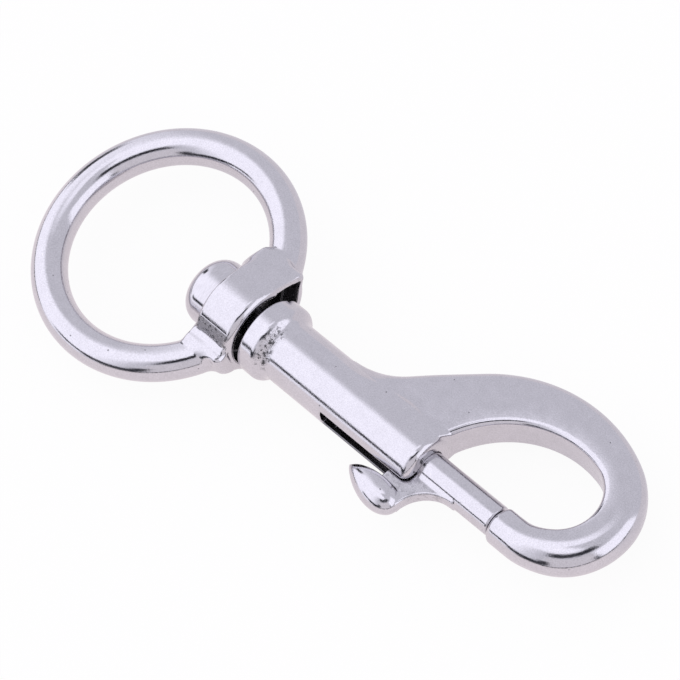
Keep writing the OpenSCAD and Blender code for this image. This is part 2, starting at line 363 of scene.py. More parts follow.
@dataclass(frozen=True)
class SwivelSizes:
    """Places along the swivel axis that more than one piece shares."""

    COLLAR_LEN: ClassVar[float] = 7.0  # length of the collar
    HEAD_DEPTH: ClassVar[float] = 7.15  # from the rim back to the stud's head
    GATE_GAP: ClassVar[float] = 13.95  # from the mouth to the nose
    SHUT_GAP: ClassVar[float] = 0.15  # between the nose and the shut bolt

    rim_x: float  # collar's rim
    collar_x: float  # collar's back
    head_x: float  # underside of the stud's head
    flange_x: float  # barrel's swivel end
    mouth_x: float  # barrel's mouth
    nose_x: float  # nose's end face
    bolt_back_x: float  # bolt's hidden end
    bolt_end_x: float  # bolt's visible end
    shank_end_x: float  # stud's inner end
    roll: float = -6.0  # turn of the hook about the swivel axis, in degrees

    @classmethod
    def from_frame(cls) -> "SwivelSizes":
        """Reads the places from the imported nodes' boxes.

        Returns:
            The shared places.
        """
        _, eye_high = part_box("swivel_eye")
        _, stud_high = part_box("swivel_stud")
        hook_low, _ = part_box("hook_body")
        bolt_low, bolt_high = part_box("gate_bolt")
        rim_x = eye_high.x / MM
        bolt_end_x = bolt_high.x / MM
        nose_x = bolt_end_x + cls.SHUT_GAP
        collar_x, head_x, mouth_x = rim_x - cls.COLLAR_LEN, rim_x - cls.HEAD_DEPTH, nose_x - cls.GATE_GAP
        hook_x, bolt_x, stud_x = hook_low.x / MM, bolt_low.x / MM, stud_high.x / MM
        return cls(rim_x, collar_x, head_x, hook_x, mouth_x, nose_x, bolt_x, bolt_end_x, stud_x)


# ---- pieces


@dataclass(frozen=True)
class Solid:
    """A piece whose skin is the zero of a distance field."""

    name: ClassVar[str]
    step: ClassVar[float]  # spacing of the mesh's points
    rolls: ClassVar[bool] = False  # True for a piece shaped in the hook's own plane

    at: SwivelSizes

    def field(self, p: Places) -> Array:
        """Measures from the whole piece, negative inside."""
        raise NotImplementedError

    def marks(self, p: Places) -> dict[str, Array]:
        """Marks for the finish; a plain piece has none."""
        return {}

    def reach(self) -> tuple[Triple, Triple]:
        """Lowest and highest corner of the piece."""
        raise NotImplementedError

    def build(self) -> bpy.types.Object:
        """Meshes the piece, smooth-shaded and with its marks, and lays it at its roll.

        Returns:
            The object, at the origin.
        """
        points, quads, normals = SurfaceNet(self.step).build(self.field, *self.reach())
        marks = self.marks(points.T)
        if self.rolls:
            points, normals = rolled(points, self.at.roll), rolled(normals, self.at.roll)
        mesh = bpy.data.meshes.new(self.name)
        mesh.from_pydata((points * MM).tolist(), [], quads.tolist())
        mesh.update()
        mesh.polygons.foreach_set("use_smooth", np.ones(len(mesh.polygons), bool))
        mesh.normals_split_custom_set_from_vertices(normals.tolist())
        for mark, values in marks.items():
            mesh.attributes.new(mark, "FLOAT", "POINT").data.foreach_set("value", values.astype(np.float32))
        return placed(self.name, mesh)


@dataclass(frozen=True)
class EyeCasting(Solid):
    """The round eye with its collar, necks and wings, one casting."""

    name = "eye_casting"
    step = 0.24

    ring_r: float = 19.0  # radius of the bar's centre line
    bar_r: float = 2.9
    ring_fillet: float = 1.0
    collar_r: float = 7.5
    collar_edge: float = 0.7
    side_y: float = 4.0  # where each side of the collar takes on its own neck and fillet
    loop_wing: float = 10.05  # reach of the wing on the loop's side
    lever_wing: float = 9.3  # and on the thumb lever's side
    wing_from: float = 6.2
    wing_corner: float = 1.1  # rounding of the wings' ends, above
    wing_belly: float = 2.7  # rounding of the lever-side wing's end, below
    wing_edge: float = 0.5
    wing_half_h: float = 3.0  # half of the lever-side wing's height
    wing_top: float = 3.3  # top of the loop-side wing
    wing_slant: float = 7.75  # reach at mid height of the loop-side wing's slanted lower side
    loop_fillet: float = 4.0
    lever_fillet: float = 0.9
    loop_neck: float = 1.3  # how far the neck stands back on the loop's side
    lever_neck: float = 0.3  # and on the lever's side
    over: float = 1.0  # overrun past the rim, cut off later
    rim_wall: float = 1.45
    rim_back: float = 0.1  # how far the rim's outer edge stands back of rim_x
    rim_lip: float = 0.35  # how far the inner edge stands out from that
    lip_rise: Pair = (0.1, -1.1)  # distances from the outer edge between which the lip rises
    rim_edge: float = 0.75
    recess_depth: float = 3.2
    recess_edge: float = 0.5
    pocket_y: float = 2.0  # where the recess's pocket into the loop-side wing begins
    pocket_roof: float = 1.0  # wall over the pocket
    pocket_floor: float = 1.35  # how far its slanted side stands back from the wing's
    pocket_fillet: float = 4.5  # hollow fillet between recess and pocket
    cut_edge: float = 0.3  # edge of the recess, the pocket and the head's room
    head_room_r: float = 6.0  # room for the stud's head
    head_room_half: float = 3.0  # half of that room's length
    hole_r: float = 2.68
    hole_x: float = 5.0  # where the stud's hole begins, inside the eye
    hole_edge: float = 0.2
    band_angle: float = 36.4  # middle of the collar's rough band, up from the lever's side
    band_fade: Pair = (9.2, 7.8)  # angles off it where the band ends and where it is full
    band_x: float = 17.6  # middle of the band
    band_x_fade: Pair = (3.6, 2.6)  # distances off it where the band ends and where it is full
    band_dark: float = 0.6  # how far the band is dark as a hollow

    def ring(self, p: Places) -> Array:
        """Distance from the eye's round bar."""
        return hypot(hypot(p[0], p[1]) - self.ring_r, p[2]) - self.bar_r

    def wing(self, p: Places, back: Array, front: float) -> Array:
        """Measures from the two wings: blunt on the lever's side, slanted below on the loop's.

        Args:
            p: Places.
            back: Back of the wings.
            front: Front of the wings.

        Returns:
            Distances from both wings.
        """
        x, y, z = p
        corner = np.where(z > 0, self.wing_corner, self.wing_belly)
        lever = meet(-y - self.lever_wing, np.abs(z) - self.wing_half_h, corner)
        loop = meet(y - self.loop_wing, z - self.wing_top, self.wing_corner)
        loop = meet(loop, (y - z - self.wing_slant) / math.sqrt(2), self.wing_edge)
        return meet(np.where(y > 0, loop, lever), maximum(back - x, x - front), self.wing_edge)

    def recess(self, y: Array, z: Array) -> Array:
        """Measures from the recess's outline: a circle that runs out into the loop-side wing.

        Args:
            y: Places across the swivel axis.
            z: Heights.

        Returns:
            Distances from the outline.
        """
        slant = (y - z - self.wing_slant + self.pocket_floor) / math.sqrt(2)
        roof = z - self.wing_top + self.pocket_roof
        pocket = maximum(meet(roof, slant, self.cut_edge), self.pocket_y - y)
        fillet = self.cut_edge + self.pocket_fillet * ramp(y, self.pocket_y, self.pocket_y + 3.0)
        return join(hypot(y, z) - (self.collar_r - self.rim_wall), pocket, fillet)

    def field(self, p: Places) -> Array:
        """Measures from the whole casting.

        Args:
            p: Places.

        Returns:
            Distances.
        """
        at = self.at
        x, y, z = p
        rho = hypot(y, z)
        side = ramp(y, -self.side_y, self.side_y)
        fillet = self.lever_fillet + (self.loop_fillet - self.lever_fillet) * side
        back = at.collar_x - (self.lever_neck + (self.loop_neck - self.lever_neck) * side)
        tube = maximum(at.collar_x - x, x - at.rim_x - self.over)
        collar = meet(rho - self.collar_r, tube, self.collar_edge)
        wings = self.wing(p, back, at.rim_x + self.over)
        wings = maximum(wings, self.wing_from - np.abs(y))
        body = join(collar, join(wings, self.ring(p), self.ring_fillet), fillet)
        inward = minimum(rho - self.collar_r, wings)
        lip = at.rim_x - self.rim_back + self.rim_lip * ramp(inward, *self.lip_rise)
        body = meet(body, x - lip, self.rim_edge)
        recess = meet(self.recess(y, z), at.rim_x - self.recess_depth - x, self.recess_edge)
        body = carve(body, recess, self.cut_edge)
        behind = np.abs(x - at.collar_x + self.head_room_half) - self.head_room_half
        body = carve(body, maximum(rho - self.head_room_r, behind), self.cut_edge)
        return carve(body, maximum(rho - self.hole_r, self.hole_x - x), self.hole_edge)

    def marks(self, p: Places) -> dict[str, Array]:
        """Marks where the skin is left rough, and where it is darkened: painted shade in the recess, and the
        rough band.

        Args:
            p: Places on the skin.

        Returns:
            Each mark's name and its values from 0 to 1.
        """
        at = self.at
        x, y, z = p
        rho = hypot(y, z)
        band = np.abs(np.degrees(np.arctan2(z, -y)) - self.band_angle)
        rough = ramp(band, *self.band_fade) * ramp(np.abs(rho - self.collar_r), 0.7, 0.3)
        rough = rough * ramp(np.abs(x - self.band_x), *self.band_x_fade)
        # Painted shade inside the recess, fading out a little behind the rim.
        inside = ramp(self.recess(y, z), 0.35, 0.1) * ramp(x, at.rim_x - 0.25, at.rim_x - 0.8)
        hollow = inside * (x > at.collar_x + 1)
        return {"cast_skin": rough, "hollow": maximum(hollow, self.band_dark * rough)}

    def reach(self) -> tuple[Triple, Triple]:
        """Lowest and highest corner of the casting."""
        outer = self.ring_r + self.bar_r
        return (-outer, -outer, -self.collar_r), (self.at.rim_x, outer, self.collar_r)


@dataclass(frozen=True)
class HookCasting(Solid):
    """Barrel, flange, blade, hook and nose, one casting."""

    name = "hook_casting"
    step = 0.26
    rolls = True

    barrel_r: float = 5.05
    flange_r: float = 6.45
    flange_t: float = 3.6
    flange_edge: float = 0.6
    flange_shoulder: float = 1.0  # rounding at the barrel
    flange_fillet: float = 1.5
    mouth_edge: float = 1.4
    bore_r: float = 2.61
    bore_edge: float = 0.15
    bore_back: float = 0.2  # how far the stud's end stands out into the bore
    nose_clear: float = 4.0  # how far bore and slot stay clear of the nose
    slot_x: float = 39.1  # swivel end of the lever's slot
    slot_half: float = 1.6
    slot_corner: float = 0.4
    slot_edge: float = 0.25
    nose_r: float = 2.85
    nose_drop: float = 0.25  # how far the nose's axis lies below the bolt's
    nose_len: float = 4.1
    nose_flat: float = 0.3  # how much thinner the nose is than the bar, on each side
    half_t: float = 3.4
    crown: float = 0.25  # how much the flat sides fall away towards the inner edge
    back_swell: float = 0.24  # how far the oval outer side stands out past the outline
    end_swell: float = 0.16  # how much further that is at the hook's end
    oval_width: Triple = (4.0, -1.1, -0.6)  # reach of the oval side: on the bar, added at the nose, at the root
    oval_power: Pair = (2.8, -0.8)  # power of the oval: on the bar, added at the hook's end
    bevel: Triple = (0.9, 1.9, 1.0)  # edge on the inside: on the bar, added at the nose, at the root
    gate_edge: float = 0.9
    end_outer_r: float = 12.05
    end_inner_r: float = 6.4
    end_shift: Pair = (-0.05, -0.03)  # from the outer centre there to the inner one, in widths of the bar
    back_outer_r: float = 24.05
    back_inner_r: float = 16.3
    outer_back_from: float = 61.7  # normal angle where the back begins, outside
    inner_back_from: float = 75.7  # and inside
    inner_last: float = 169.5  # normal angle where the inside meets the mouth
    blade_slope: float = 43.0
    blade_fillet: float = 12.8
    far: float = 20.0  # overrun of an outline's open ends

    def outlines(self) -> tuple[Outline, Outline]:
        """Lays out the hook's bar.

        Returns:
            The outer and the inner outline of the bar, both positive off the bar.
        """
        at = self.at
        end = (at.nose_x + self.nose_len, self.end_outer_r - self.nose_r - self.nose_drop)
        wall = self.end_outer_r - self.end_inner_r
        inner_end = (end[0] + self.end_shift[0] * wall, end[1] + self.end_shift[1] * wall)
        back = off(end, self.end_outer_r - self.back_outer_r, self.outer_back_from)
        inner_back = off(inner_end, self.end_inner_r - self.back_inner_r, self.inner_back_from)
        blade_a = 90 + self.blade_slope
        back_arc = Arc(back, self.back_outer_r, self.outer_back_from, blade_a)
        top = back_arc.point(blade_a)
        rise = self.blade_fillet * math.sin(math.radians(blade_a))
        drop = top[1] + rise - self.barrel_r - self.blade_fillet
        foot = off(top, -drop / math.sin(math.radians(self.blade_slope)), self.blade_slope)
        hollow = off(foot, self.blade_fillet, blade_a)
        nose_low = end[1] - self.end_outer_r
        nose_high = inner_end[1] - self.end_inner_r
        outer = Outline(
            (
                Edge((end[0], nose_low), (at.nose_x - self.far, nose_low)),
                Arc(end, self.end_outer_r, -90, self.outer_back_from),
                back_arc,
                Edge(foot, top),
                Arc(hollow, self.blade_fillet, blade_a - 180, -90, hollow=True),
                Edge((hollow[0] - 1.5 * self.far, self.barrel_r), (hollow[0], self.barrel_r)),
            )
        )
        inner_arc = Arc(inner_back, self.back_inner_r, self.inner_back_from, self.inner_last, hollow=True)
        inner = Outline(
            (
                Edge((at.nose_x - 1, nose_high), (inner_end[0], nose_high)),
                Arc(inner_end, self.end_inner_r, -90, self.inner_back_from, hollow=True),
                inner_arc,
                Edge(inner_arc.point(self.inner_last), (at.mouth_x - self.far, -1.0)),
            )
        )
        return outer, inner

    def blade_half(self, x: Array, y: Array, thin: Array) -> Array:
        """Half of the blade's thickness, which swells into the barrel's round.

        Args:
            x: Places along the barrel.
            y: Places across it.
            thin: Half thickness clear of the barrel.

        Returns:
            Half thickness at each place.
        """
        # Above the bolt the swell runs on past the mouth, and then falls away.
        mouth_x = self.at.mouth_x
        end_x = mouth_x + 2.5 * ramp(y, 2.0, 4.0)
        past = np.clip(x - end_x + self.mouth_edge, 0.0, self.mouth_edge)
        radius = self.barrel_r - self.mouth_edge + np.sqrt(self.mouth_edge**2 - past**2)
        radius = maximum(radius - 3.0 * maximum(x - end_x, 0.0), 0.0)
        swell = np.sqrt(maximum(radius**2 - y**2, 0.0))
        # The two run into each other softly near the mouth, and sharply at the blade's root.
        soft = 0.05 + 2.4 * ramp(x, mouth_x - 14.0, mouth_x - 7.0)
        return maximum(thin, swell) + maximum(soft - np.abs(thin - swell), 0.0) ** 2 / (4 * soft)

    def bar(self, p: Places) -> Array:
        """Measures from the hook's bar with its nose and blade.

        Args:
            p: Places.

        Returns:
            Distances from the bar.
        """
        at = self.at
        x, y, z = p
        outer, inner = self.outlines()
        out, hole = outer.signed(x, y), inner.signed(x, y)
        across = np.clip((out - hole) / minimum(out + hole, -0.5), -1.5, 1.5)  # -1 outside, 1 inside

        # How far each place belongs to the nose, the root at the barrel, the end and its lower side.
        hooked = x > at.mouth_x
        nose = ramp(y, 4.0, 0.5) * ramp(x, at.nose_x + 9.5, at.nose_x + 2.0) * hooked
        root = ramp(x, at.mouth_x + 1.0, at.mouth_x - 11.0)
        end = ramp(y, 16.0, 7.0) * (x > at.nose_x)
        low = ramp(y, 8.0, 4.0) * ramp(x, at.nose_x + 15.0, at.nose_x + 7.0) * hooked

        domed = self.half_t - self.crown * maximum(across, 0) ** 2 - self.nose_flat * nose
        half = self.blade_half(x, y, domed)
        swell = (self.back_swell + self.end_swell * end) * (1 - maximum(nose, low))
        out = out - swell * ramp(x, at.mouth_x - 15.2, at.mouth_x - 8.2)
        width = self.oval_width[0] + self.oval_width[1] * nose + self.oval_width[2] * root
        power = self.oval_power[0] + self.oval_power[1] * end
        bevel = self.bevel[0] + self.bevel[1] * nose + self.bevel[2] * root
        bar = maximum(oval(out, z, width, half, power), meet(hole, np.abs(z) - half, bevel))

        # The gate's opening is cleared of the bar, from a little past the mouth to the nose.
        gate = maximum(maximum(x - at.nose_x, at.mouth_x + 5.0 - x), y - (2.0 + 0.2 * (x - at.mouth_x)))
        return maximum(meet(bar, -gate, self.gate_edge), at.mouth_x - self.far - x)

    def barrel(self, p: Places) -> Array:
        """Measures from the barrel with its flange, before it is bored.

        Args:
            p: Places.

        Returns:
            Distances from barrel and flange.
        """
        at = self.at
        x, rho = p[0], hypot(p[1], p[2])
        tube = meet(rho - self.barrel_r, maximum(at.flange_x + 0.5 - x, x - at.mouth_x), self.mouth_edge)
        flange = meet(rho - self.flange_r, at.flange_x - x, self.flange_edge)
        flange = meet(flange, x - at.flange_x - self.flange_t, self.flange_shoulder)
        return join(tube, flange, self.flange_fillet)

    def field(self, p: Places) -> Array:
        """Measures from the whole casting, in the hook's own plane.

        Args:
            p: Places.

        Returns:
            Distances.
        """
        at = self.at
        x, y, z = p
        rho = hypot(y, z)
        # The blade blends into the barrel where its edge rises off the barrel.
        rise = -self.outlines()[0].signed(x, np.full_like(x, self.barrel_r))
        soft = ramp(rise, 0.3, 1.8) * ramp(y, 2.0, 4.2) * ramp(x, at.mouth_x - 3.0, at.mouth_x - 8.0)
        body = join(self.barrel(p), self.bar(p), 0.15 + 1.7 * soft)
        front = x - at.nose_x + self.nose_clear
        bore = maximum(rho - self.bore_r, maximum(at.shank_end_x - self.bore_back - x, front))
        slot = meet(np.abs(z) - self.slot_half, self.slot_x - x, self.slot_corner)
        slot = maximum(maximum(slot, y), front)
        body = maximum(body, at.flange_x - x)
        return carve(carve(body, slot, self.slot_edge), bore, self.bore_edge)

    def marks(self, p: Places) -> dict[str, Array]:
        """Marks where the skin is left rough, and where a hollow is darkened with painted shade.

        Args:
            p: Places on the skin.

        Returns:
            Each mark's name and its values from 0 to 1.
        """
        at = self.at
        x, y, z = p
        rho = hypot(y, z)
        # Rough in the fillet behind the flange, above and towards the lever.
        fillet_x = at.flange_x + self.flange_t + 0.7
        rough = ramp(np.abs(x - fillet_x), 1.2, 0.5) * ramp(rho, 6.6, 6.0)
        rough = rough * ramp(y, 1.5, -1.0) * ramp(z, 0.6, 1.8)
        # Painted shade in the bore and on the slot's lower lip.
        hollow = ramp(rho, self.barrel_r - 0.5, self.barrel_r - 1.1)
        lip = ramp(np.abs(z + self.slot_half), 0.9, 0.6) * (y < 0)
        lip = lip * ramp(x, self.slot_x - 0.1, self.slot_x + 0.3)
        hollow = 0.8 * maximum(hollow, lip) * ramp(x, at.mouth_x - 0.2, at.mouth_x - 1.0)
        return {"cast_skin": rough, "hollow": hollow}

    def reach(self) -> tuple[Triple, Triple]:
        """Lowest and highest corner of the casting."""
        high_x = self.at.nose_x + self.nose_len + self.end_outer_r
        high = (high_x, 2 * self.end_outer_r, self.flange_r)
        return (self.at.flange_x, -self.flange_r, -self.flange_r), high


@dataclass(frozen=True)
class BoltCasting(Solid):
    """The sliding bolt with its web and thumb pad, one casting."""

    name = "bolt_casting"
    step = 0.18
    rolls = True

    bolt_r: float = 2.53
    end_edge: float = 0.4
    web_half: float = 1.1
    web_back: float = 3.85  # from the mouth back to the web's rear edge
    web_front: float = 7.15  # from the mouth on to the web's front
    web_low: float = 8.2  # depth of the web below the bolt's axis
    web_edge: float = 0.35
    web_fillet: float = 0.5
    front_r: float = 5.9  # radius of the web's hollow front edge
    skin: float = 0.25  # how rough the web's flat sides are left
    pad_near: float = 6.2  # distance of the pad's near side from the bolt's axis
    near_r: float = 20.0  # of that side, which bulges towards the bolt
    near_centre: Pair = (54.0, 19.9)  # its centre, along X and down from pad_near
    pad_tip: Pair = (48.1, -7.55)  # the pad's point, towards the swivel
    pad_end: Pair = (58.55, -8.2)  # the pad's round end
    pad_r: float = 2.8  # half of the pad's width before its near side is cut
    pad_flat: float = 0.9  # share of that by which the pad is flattened
    pad_edge: float = 0.15
    pad_fillet: float = 0.25
    pad_reach: Pair = (11.3, 2.7)  # how far the pad reaches down and aside, at most

    def leaf(self, p: Places) -> Array:
        """Measures from the pad's leaf shape, pointed towards the swivel and round at the other end.

        Args:
            p: Places.

        Returns:
            Distances from the leaf.
        """
        # At a share s of its length, its half width squared is size * s**1.6 * (1 - s).
        x, y, z = p
        length = self.pad_end[0] - self.pad_tip[0]
        share = (x - self.pad_tip[0]) / length
        middle = self.pad_tip[1] + (self.pad_end[1] - self.pad_tip[1]) * np.clip(share, 0.0, 1.0)
        away = (y - middle) ** 2 + (z / self.pad_flat) ** 2
        size = (self.pad_r / 0.43) ** 2
        swell = np.abs(share) ** 1.6 * np.where(share > 0, 1.0 - share, -1.0)
        slope = np.abs(share) ** 0.6 * (1.6 - 2.6 * share)
        steep = np.sqrt(4.0 * away + (size * slope / length) ** 2)
        return (away - size * swell) / maximum(steep, 0.3)

    def field(self, p: Places) -> Array:
        """Measures from the whole casting, in the hook's own plane.

        Args:
            p: Places.

        Returns:
            Distances.
        """
        at = self.at
        x, y, z = p
        rho = hypot(y, z)
        bolt = meet(rho - self.bolt_r, maximum(at.bolt_back_x - x, x - at.bolt_end_x), self.end_edge)
        front_x, front_y = at.mouth_x + self.web_front, -self.bolt_r - self.front_r
        outline = maximum(at.mouth_x - self.web_back - x, x - front_x)
        outline = maximum(outline, self.front_r - hypot(x - front_x, y - front_y))
        outline = maximum(outline, maximum(-self.web_low - y, y))
        web = meet(outline, np.abs(z) - self.web_half, self.web_edge)
        near = hypot(x - self.near_centre[0], y + self.near_centre[1] + self.pad_near) - self.near_r
        pad = meet(self.leaf(p), near, self.pad_edge)
        return join(join(bolt, web, self.web_fillet), pad, self.pad_fillet)

    def marks(self, p: Places) -> dict[str, Array]:
        """Marks the web's flat sides as rough."""
        side = ramp(np.abs(p[2]), self.web_half + 0.2, self.web_half + 0.05)
        return {"cast_skin": self.skin * (side * ramp(np.abs(p[1] + 4.5), 2.2, 1.4))}

    def reach(self) -> tuple[Triple, Triple]:
        """Lowest and highest corner of the casting."""
        down, aside = self.pad_reach
        return (self.at.bolt_back_x, -down, -aside), (self.at.bolt_end_x, self.bolt_r, aside)


@dataclass(frozen=True)
class StudTurning(Solid):
    """The headed stud that the eye turns on."""

    name = "stud_turning"
    step = 0.2

    head_r: float = 5.55
    head_len: float = 5.9
    head_edge: float = 3.0
    shank_r: float = 2.6
    shank_edge: float = 0.2

    def field(self, p: Places) -> Array:
        """Measures from the whole stud.

        Args:
            p: Places.

        Returns:
            Distances.
        """
        at = self.at
        x, rho = p[0], hypot(p[1], p[2])
        back = at.head_x - self.head_len
        head = maximum(meet(rho - self.head_r, back - x, self.head_edge), x - at.head_x)
        shank = meet(rho - self.shank_r, maximum(back - x + 1, x - at.shank_end_x), self.shank_edge)
        return join(head, shank, self.shank_edge)

    def reach(self) -> tuple[Triple, Triple]:
        """Lowest and highest corner of the stud."""
        low = (self.at.head_x - self.head_len, -self.head_r, -self.head_r)
        return low, (self.at.shank_end_x, self.head_r, self.head_r)


# ---- finishes


class NodePad:
    """Adds nodes to one tree and links them, left to right."""

    def __init__(self, tree: bpy.types.NodeTree) -> None:
        """Starts with an empty tree."""
        self.tree = tree
        tree.nodes.clear()

    def add(self, kind: str, inputs: Optional[dict] = None, **settings: object) -> bpy.types.Node:
        """Adds a node.

        Args:
            kind: Blender's name of the node's type.
            inputs: Socket name or number, and the value or output socket for it.
            settings: Properties of the node itself.

        Returns:
            The new node.
        """
        node = self.tree.nodes.new(kind)
        for key, value in settings.items():
            setattr(node, key, value)
        for key, value in (inputs or {}).items():
            if isinstance(value, Socket):
                self.tree.links.new(value, node.inputs[key])
            else:
                node.inputs[key].default_value = value
        return node

    def math(self, operation: str, *values: Feed) -> Socket:
        """Adds a Math node and returns its output."""
        return self.add("ShaderNodeMath", dict(enumerate(values)), operation=operation).outputs[0]

    def plus(self, a: Feed, b: Feed) -> Socket:
        """The sum of two values."""
        return self.math("ADD", a, b)

    def minus(self, a: Feed, b: Feed) -> Socket:
        """The difference of two values."""
        return self.math("SUBTRACT", a, b)

    def times(self, a: Feed, b: Feed) -> Socket:
        """The product of two values."""
        return self.math("MULTIPLY", a, b)

    def most(self, a: Feed, b: Feed) -> Socket:
        """The larger of two values."""
        return self.math("MAXIMUM", a, b)

    def mix(self, share: Feed, low: Feed, high: Feed) -> Socket:
        """Mixes two colours, all low at share 0 and all high at 1."""
        return self.add("ShaderNodeMix", {"Factor": share, 6: low, 7: high}, data_type="RGBA").outputs[2]

    def noise(self, place: Feed, scale: float, detail: float, roughness: float = 0.5) -> Socket:
        """Adds a noise and returns its value."""
        inputs = {"Vector": place, "Scale": scale, "Detail": detail, "Roughness": roughness}
        return self.add("ShaderNodeTexNoise", inputs).outputs["Fac"]

    def mark(self, name: str) -> Socket:
        """Reads a mark of the mesh."""
        return self.add("ShaderNodeAttribute", attribute_name=name).outputs["Fac"]

    def step(self, value: Feed, low: float, high: float, start: float = 0.0, end: float = 1.0) -> Socket:
        """Smooth step of a value between two levels, from start to end."""
        inputs = {"Value": value, "From Min": low, "From Max": high, "To Min": start, "To Max": end}
        return self.add("ShaderNodeMapRange", inputs, interpolation_type="SMOOTHSTEP").outputs[0]


@dataclass(frozen=True)
class SteelFinish:
    """Polished steel with grain and pits, and rough skin and hollows where a mark asks for them; pits and
    hollows get painted shade.

    Heights and depths are in micrometres, other lengths in millimetres.
    """

    name: str
    colour: Triple = (0.63, 0.62, 0.65)  # colour of the bare metal
    shades: Pair = (0.72, 1.28)  # darkest and lightest share of that colour
    dirt_and_shade: Triple = (0.04, 0.04, 0.045)  # colour of the rough skin's pores, and of the painted shade in pits and hollows
    roughness: float = 0.12  # gloss of the polished places
    haze: float = 0.05  # how much the gloss varies
    least_gloss: float = 0.04  # smoothest that the surface gets
    grain: float = 7.0  # height of the fine grain
    grain_size: Triple = (0.2, 0.2, 0.2)  # size of the grain along X, Y and Z
    wave: float = 14.0  # height of the slow waves that polishing leaves
    pit_share: float = 0.05  # share of the surface cells with a pit
    pit_depth: float = 28.0
    pit_shade: float = 0.6  # how far a pit is darkened, as painted shade
    hollow_shade: float = 0.87  # how far a hollow is darkened, as painted shade
    pore_dark: float = 0.9  # how dark the pores of the rough skin are
    skin: float = 130.0  # height of the rough cast skin
    seam: float = 0.0  # height of the mould's parting line
    roll: float = 0.0  # turn of the piece's parting plane about the swivel axis, in degrees

    def material(self) -> bpy.types.Material:
        """Builds the node material.

        Returns:
            The material, new.
        """
        made = bpy.data.materials.new(self.name)
        made.use_nodes = True
        pad = NodePad(made.node_tree)
        coords = pad.add("ShaderNodeTexCoord").outputs["Object"]
        turn = (math.radians(-self.roll), 0, 0)
        per_mm = (1 / MM, 1 / MM, 1 / MM)
        place = pad.add("ShaderNodeMapping", {"Vector": coords, "Rotation": turn, "Scale": per_mm}).outputs[0]
        stretch = tuple(1 / size for size in self.grain_size)
        fine = pad.add("ShaderNodeMapping", {"Vector": place, "Scale": stretch}).outputs[0]
        skin, hollow = pad.mark("cast_skin"), pad.mark("hollow")

        broad = pad.noise(place, 0.16, 2.0)
        cloud = pad.noise(place, 0.55, 3.0)
        grain = pad.noise(fine, 1.0, 2.0)
        rough = pad.noise(place, 1.5, 4.0, 0.65)

        pits = pad.add("ShaderNodeTexVoronoi", {"Vector": place, "Scale": 0.9, "Randomness": 1.0})
        draw = pad.add("ShaderNodeSeparateColor", {0: pits.outputs["Color"]}).outputs[0]
        chosen = pad.math("LESS_THAN", draw, self.pit_share)
        near = pad.step(pits.outputs["Distance"], 0.08, 0.17, 1.0, 0.0)
        pit = pad.times(chosen, near)

        shade = pad.plus(pad.times(cloud, 0.25), pad.times(grain, 0.75))
        darkest, lightest = ((*(min(share * c, 1) for c in self.colour), 1) for share in self.shades)
        tint = pad.mix(shade, darkest, lightest)
        # Painted shade in pits and hollows, and the rough skin's dark pores, pull the colour towards the dark
        # colour.
        dark = pad.most(pad.times(pit, self.pit_shade), pad.times(hollow, self.hollow_shade))
        pores = pad.times(pad.step(rough, 0.50, 0.60), skin)
        dark = pad.most(dark, pad.times(pores, self.pore_dark))
        tint = pad.mix(dark, tint, (*self.dirt_and_shade, 1))

        gloss = pad.step(cloud, 0.3, 0.7, self.roughness - self.haze / 2, self.roughness + self.haze / 2)
        gloss = pad.plus(gloss, pad.times(pad.plus(skin, hollow), 0.12))
        gloss = pad.most(pad.plus(gloss, pad.times(pit, 0.25)), self.least_gloss)

        height = pad.times(pad.minus(broad, 0.5), self.wave)
        height = pad.plus(height, pad.times(grain, self.grain))
        height = pad.plus(height, pad.times(pit, -self.pit_depth))
        height = pad.plus(height, pad.times(pad.times(rough, skin), self.skin))
        if self.seam:
            level = pad.add("ShaderNodeSeparateXYZ", {0: place}).outputs["Z"]
            line = pad.step(pad.math("ABSOLUTE", level), 0.04, 0.16, self.seam, 0.0)
            height = pad.plus(height, line)
        bump = pad.add("ShaderNodeBump", {"Strength": 1.0, "Distance": MICRON, "Height": height}).outputs[0]
        surface = {"Base Color": tint, "Roughness": gloss, "Normal": bump, "Metallic": 1.0, "IOR": 2.5}
        shader = pad.add("ShaderNodeBsdfPrincipled", surface)
        pad.add("ShaderNodeOutputMaterial", {"Surface": shader.outputs[0]})
        return made


# ---- spring


